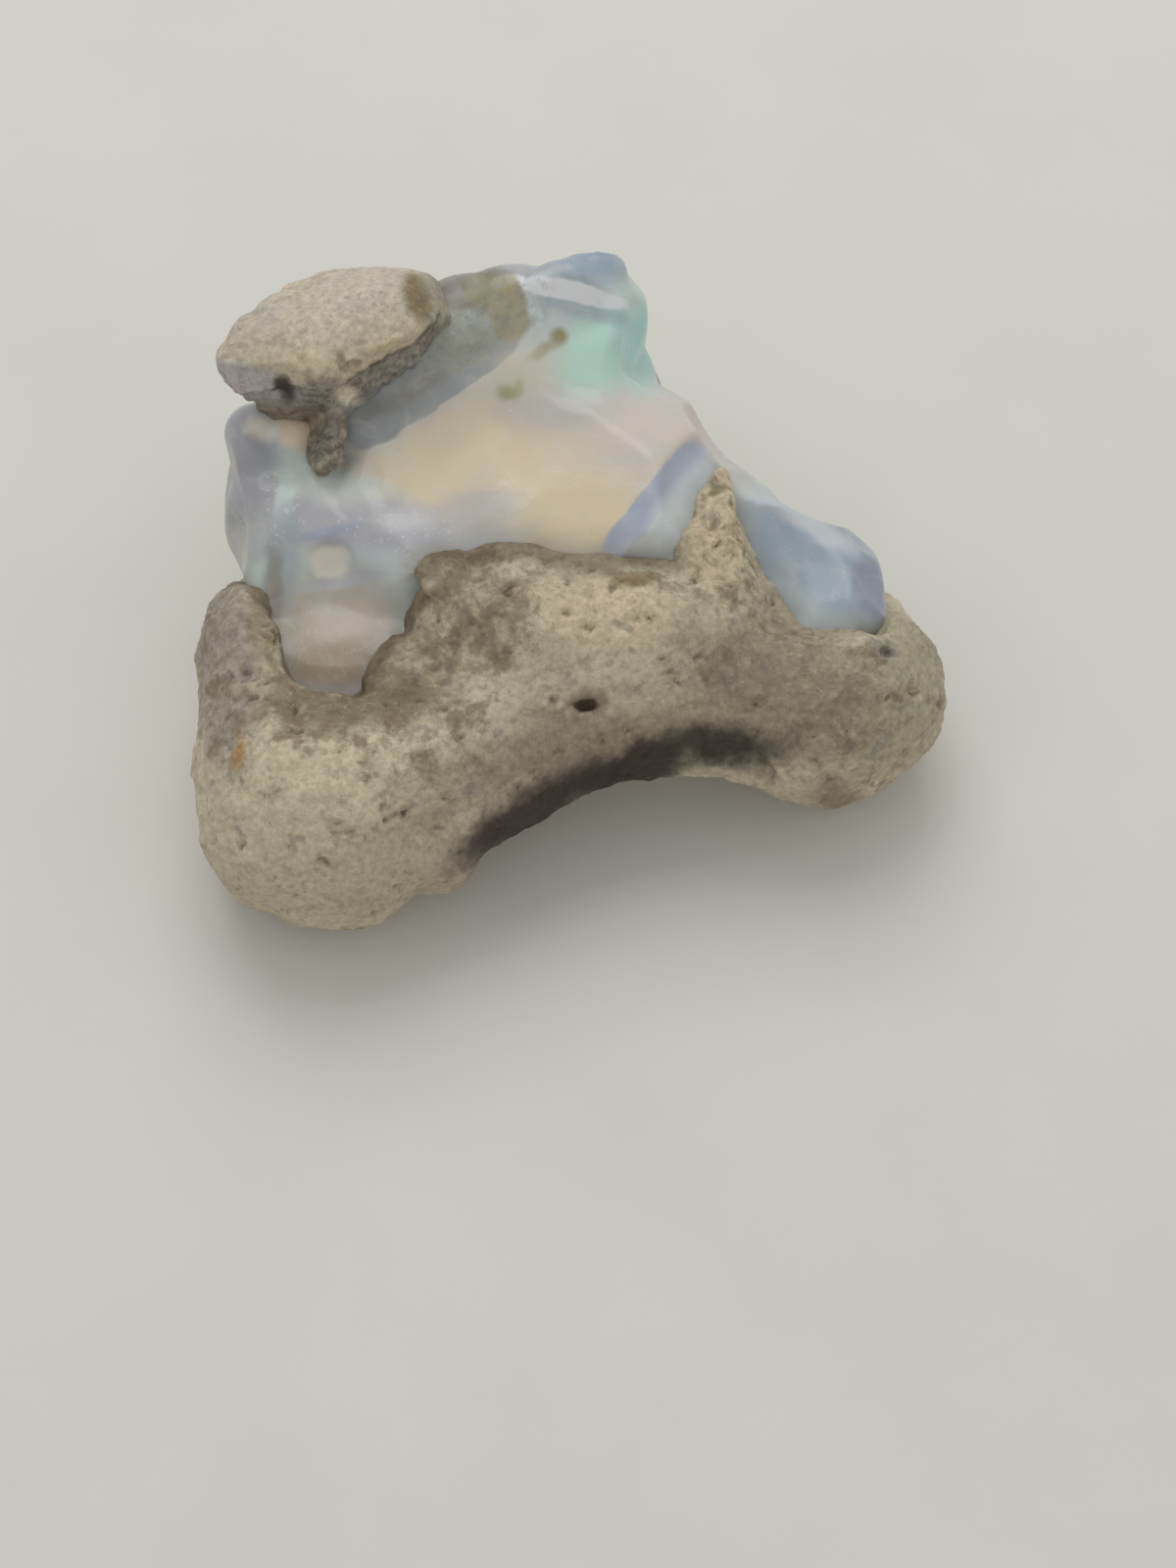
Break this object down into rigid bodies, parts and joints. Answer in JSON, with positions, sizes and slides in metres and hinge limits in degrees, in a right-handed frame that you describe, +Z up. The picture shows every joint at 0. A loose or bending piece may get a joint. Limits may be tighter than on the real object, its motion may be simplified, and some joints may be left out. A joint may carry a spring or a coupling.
{
  "type": "rough opal in host rock",
  "caption": "Rough precious opal still in its pale volcanic tuff: a glassy translucent seam over a lumpy rock, with a small crust of the rock left on top.",
  "frame": {"origin": "the middle of the stone's footprint box, on the surface that it rests on", "axes": "+Z up out of the surface, +X to the right along the stone's longest side, and -Y towards the front lobe"},
  "size_m": [0.0254, 0.0226, 0.0137],
  "materials": {
    "tuff": "matte",
    "opal": "gloss",
    "tuff_crust": "matte"
  },
  "bodies": {
    "root": {"host_rock": "tuff", "opal": "opal", "rock_crust": "tuff_crust"}
  },
  "joints": []
}
